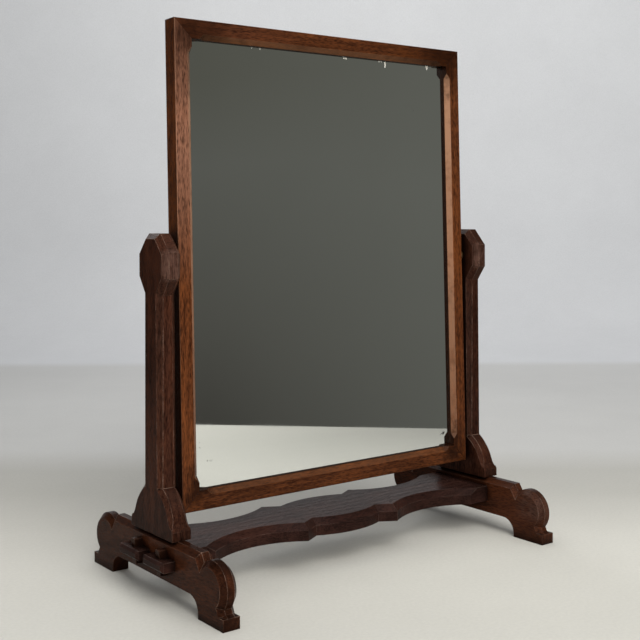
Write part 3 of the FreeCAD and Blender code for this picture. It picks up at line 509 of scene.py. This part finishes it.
FRAME_LEAN = math.radians(1.5)
SIGHT_CORNER = (0.2005, 0, 0.2575)
# Middle of the painted light patch on the upper left stile.
PAINTED_LIGHT_SPOT = (-0.212, 0, 0.17)


def frame_wear_group():
    """Marks on the frame, placed as it stands upright: dirt in mitres and corners and along the lip, dirt and
    painted shade on the outer sides below the pivots, chamfers patchy and painted paler up high as lit, and
    painted light on the upper left stile's front."""
    group, given = new_group("frame_wear", USE_MARKS)
    upright = mapped(group, given["Vector"], "TEXTURE", Location=(0, 0, PIVOT_HEIGHT),
                     Rotation=(-FRAME_LEAN, 0, 0))
    own = axes(group, upright)
    blots = noise(group, upright, 60.0, 5.0, 0.65)
    inner = vectors(group, "SUBTRACT", vectors(group, "ABSOLUTE", upright), SIGHT_CORNER)
    off = axes(group, inner)
    mitre = maths(group, "ABSOLUTE", maths(group, "SUBTRACT", off["X"], off["Z"]))
    sight = most(group, off["X"], off["Z"])

    reach = vectors(group, "LENGTH", vectors(group, "MULTIPLY", inner, (1, 0, 1)))
    reach = maths(group, "MULTIPLY_ADD", blots, 0.09, maths(group, "SUBTRACT", reach, 0.045))
    on_rail = spread(group, off["Z"], -0.002, 0.002, -0.04, 0.045)
    right = product(group, spread(group, own["X"], -0.05, 0.05), on_rail)
    smeared = product(group, maths(group, "ADD", right, 0.053), spread(group, own["Z"], -0.1, 0.15))
    smeared = maths(group, "ADD", smeared, 0.032)
    corner = product(group, spread(group, maths(group, "DIVIDE", reach, smeared), 1.0, 0.1, 0.0, 0.85),
                     spread(group, off["X"], 0.02245, 0.0221))
    line = spread(group, mitre, 0.0007, 0.0002)
    lip = spread(group, sight, 0.0005, 0.0002)
    # Dirt and painted shade on the outer sides below the pivots, which face the posts.
    flank_dirt_and_shade = product(group, spread(group, off["X"], 0.0218, 0.0222), spread(group, own["Z"], 0.0, -0.03))

    clear = product(group, spread(group, mitre, 0.002, 0.0045), spread(group, sight, 0.0004, 0.0008))
    # Painted light: chamfers paler higher up, where the light falls stronger, and patchy.
    patchy_and_lit_high = product(group, spread(group, own["Z"], -0.26, 0.16, 0.4, 1.0),
                      spread(group, blots, 0.34, 0.52, 0.6, 1.0))
    # Painted light: a paler patch on the front of the upper left stile.
    painted_light_patch = product(group, spread(group, vectors(group, "DISTANCE", upright, PAINTED_LIGHT_SPOT), 0.2, 0.05),
                     spread(group, own["Y"], -0.0093, -0.0105))
    put(group, "NodeGroupOutput", {"DirtAndShade": most(group, line, lip, corner, flank_dirt_and_shade), "Open": clear,
                                   "Pale": patchy_and_lit_high, "FadedAndLit": painted_light_patch})
    return group


FRAME_WEAR = frame_wear_group()
rail_oak = waxed_oak("rail_oak", (0, 90, 0), (0.2, 0.04, 0.1), 0.0035, dark=(0.03, 0.0085, 0.003),
                     light=(0.115, 0.036, 0.0125), warm=(0.15, 0.043, 0.009), rubbed_and_highlight=(0.25, 0.12, 0.06),
                     chamfer_highlight=0.34, rub_and_highlight=0.3, wear=FRAME_WEAR, faded_and_lit=(0.12, 0.04, 0.02))
dress(rail_oak, "frame_top_rail", "frame_bottom_rail")
stile_oak = waxed_oak("stile_oak", (0, 0, 0), (0.05, 0.03, 0), 0.0035, dark=(0.03, 0.0085, 0.003),
                      light=(0.15, 0.046, 0.0155), warm=(0.17, 0.05, 0.012), rubbed_and_highlight=(0.4, 0.21, 0.125),
                      chamfer_highlight=0.85, rub_and_highlight=0.9, wear=FRAME_WEAR, faded_and_lit=(0.29, 0.135, 0.085))
dress(stile_oak, "frame_left_stile", "frame_right_stile")
spline_oak = waxed_oak("spline_oak", (0, 90, 0), (0.2, 0.1, 0.1), 0.004, dark=(0.15, 0.09, 0.05),
                       light=(0.33, 0.21, 0.12), warm=(0.34, 0.2, 0.1), rubbed_and_highlight=(0.4, 0.28, 0.18))
dress(spline_oak, *[f"{end}_{side}_spline" for end in ("top", "bottom") for side in ("left", "right")])


# Mirror glass: old silvered glass laid in the frame's first rebate, sound in the middle but slightly clouded.
# The silver is gone in chips along the top edge, and dark specks show where damp got in behind it.

GLASS_FRONT = -0.0016
CHIPS = [(-0.1117, 0.6246, 0.0009, 0.6), (-0.1002, 0.6247, 0.0017, 0.9), (0.0294, 0.6247, 0.0017, 0.9),
         (0.033, 0.6245, 0.0018, 1.0), (0.0312, 0.6239, 0.0013, 1.0), (0.0885, 0.6248, 0.0013, 0.8),
         (0.0921, 0.6248, 0.0013, 0.8), (0.0985, 0.6247, 0.0017, 1.0), (0.0986, 0.6227, 0.0016, 1.0),
         (0.0987, 0.6205, 0.0015, 1.0), (0.0985, 0.6187, 0.0013, 0.9), (0.1718, 0.6249, 0.0018, 1.0),
         (0.1742, 0.6248, 0.0018, 1.0), (0.173, 0.623, 0.0016, 1.0), (0.173, 0.6213, 0.0011, 0.9)]
SPECKS = [(0.1902, 0.1284, 0.0021, 1.0), (0.1875, 0.1278, 0.0014, 0.8), (0.1845, 0.1264, 0.0009, 0.4),
          (-0.1939, 0.158, 0.0011, 0.4), (-0.1942, 0.1635, 0.0009, 0.3), (-0.1835, 0.1417, 0.0014, 0.4),
          (-0.1805, 0.1414, 0.0013, 0.35), (-0.178, 0.1416, 0.001, 0.25), (0.147, 0.5638, 0.001, 0.9),
          (0.1872, 0.4859, 0.0008, 0.9), (0.0296, 0.2255, 0.0008, 0.9)]
glass, tree = new_material("silvered_glass")
place = surface(tree)
ragged = vectors(tree, "SUBTRACT", noise(tree, place, 600.0, 2.0, shows="Color"), (0.5, 0.5, 0.5))
nudged = vectors(tree, "ADD", place, vectors(tree, "MULTIPLY", ragged, (0.004, 0.004, 0.004)))


def spots(centres, softness):
    """A mask of ragged spots on the glass, each (across, up, radius, depth)."""
    found = []
    for across, up, radius, depth in centres:
        back = GLASS_FRONT + (up - PIVOT_HEIGHT) * math.tan(FRAME_LEAN)
        reach = vectors(tree, "DISTANCE", nudged, (across, back, up))
        found.append(spread(tree, reach, radius, radius * softness, 0.0, depth))
    return most(tree, *found)


chips = spots(CHIPS, 0.6)
specks = spots(SPECKS, 0.5)
cloud = noise(tree, place, 9.0, 4.0)
bloom = spread(tree, cloud, 0.35, 0.7, 0.012, 0.03)
face = ramp(tree, cloud, (0, (0.84, 0.86, 0.84)), (1, (0.89, 0.905, 0.885)))
face = layer(tree, face, chips, (0.94, 0.92, 0.87), 1.0)
face = layer(tree, face, specks, (0.02, 0.018, 0.015), 0.9)
dull = most(tree, chips, maths(tree, "MULTIPLY_ADD", specks, 0.5, bloom))
finish_material(tree, put(tree, "ShaderNodeBsdfPrincipled", {"Base Color": face, "Metallic": 1.0,
                                                             "Roughness": dull}))
dress(glass, "mirror_glass")


# Backboard: a thin pine board in the frame's second rebate, lightly stained, with narrow rings and few pores.
# Ten dull steel screws hold it to the frame, and it keeps the glass in its place.

back_pine = waxed_oak("back_pine", (0, 2.5, 0), (0.27, 0.12, 0), 0.0026, dark=(0.13, 0.064, 0.03),
                      light=(0.27, 0.163, 0.088), warm=(0.24, 0.13, 0.06), rubbed_and_highlight=(0.36, 0.25, 0.16),
                      sheen=0.5, rings=0.2, open_pores=0.12, patchy=0.45)
dress(back_pine, "backboard")

METAL_ARRIS = 0.0004


def old_metal(name, bright, tarnish, stain, rough):
    """Bare metal dulled by handling: tarnish in clouds, darker in the hollows, brighter on the arrises."""
    material, tree = new_material(name)
    place = surface(tree)
    handled = put(tree, "ShaderNodeGroup", {"Vector": place, "Arris": METAL_ARRIS},
                  node_tree=HANDLING).outputs
    clouds = noise(tree, place, 160.0, 5.0, 0.65)
    face = ramp(tree, spread(tree, clouds, 0.35, 0.65), (0, bright), (1, tarnish))
    face = layer(tree, face, handled["GrimeAndShade"], stain, 0.8)
    face = layer(tree, face, handled["Rubbed"], bright, 0.7)
    gloss = spread(tree, clouds, 0.3, 0.7, rough, rough + 0.22)
    scratches = put(tree, "ShaderNodeBump", {"Height": noise(tree, place, 900.0, 3.0), "Strength": 0.15,
                                             "Distance": 0.0002, "Normal": handled["Normal"]})
    finish_material(tree, put(tree, "ShaderNodeBsdfPrincipled", {
        "Base Color": face, "Metallic": 1.0, "Roughness": gloss, "Normal": scratches.outputs[0]}))
    return material


back_screw_steel = old_metal("back_screw_steel", (0.44, 0.42, 0.4), (0.2, 0.17, 0.15),
                             (0.05, 0.035, 0.025), 0.35)
dress(back_screw_steel, "backboard_screws")


# Tilt pivots: a brass plate with a stud is screwed to each stile, and turns in a flanged brass bush in the
# post's head. A leather washer between plate and flange grips, so that the mirror stays where it is set.

plate_brass = old_metal("plate_brass", (0.62, 0.46, 0.21), (0.34, 0.22, 0.09), (0.07, 0.045, 0.02), 0.28)
dress(plate_brass, "left_pivot_plate", "right_pivot_plate")
bush_brass = old_metal("bush_brass", (0.34, 0.23, 0.1), (0.16, 0.1, 0.045), (0.07, 0.045, 0.02), 0.3)
dress(bush_brass, "left_post_bush", "right_post_bush")
plate_screw_brass = old_metal("plate_screw_brass", (0.66, 0.5, 0.24), (0.4, 0.27, 0.12),
                              (0.06, 0.04, 0.02), 0.3)
dress(plate_screw_brass, "left_plate_screws", "right_plate_screws")

leather, tree = new_material("washer_leather")
place = surface(tree)
hide = put(tree, "ShaderNodeTexVoronoi", {"Vector": place, "Scale": 900.0})
worn = noise(tree, place, 220.0, 5.0)
brown = ramp(tree, worn, (0, (0.05, 0.026, 0.014)), (1, (0.2, 0.11, 0.055)))
pebble = put(tree, "ShaderNodeBump", {"Height": hide.outputs["Distance"], "Strength": 0.4,
                                      "Distance": 0.0003})
finish_material(tree, put(tree, "ShaderNodeBsdfPrincipled", {
    "Base Color": brown, "Roughness": spread(tree, worn, 0.0, 1.0, 0.55, 0.85), "Normal": pebble.outputs[0]}))
dress(leather, "left_pivot_washer", "right_pivot_washer")
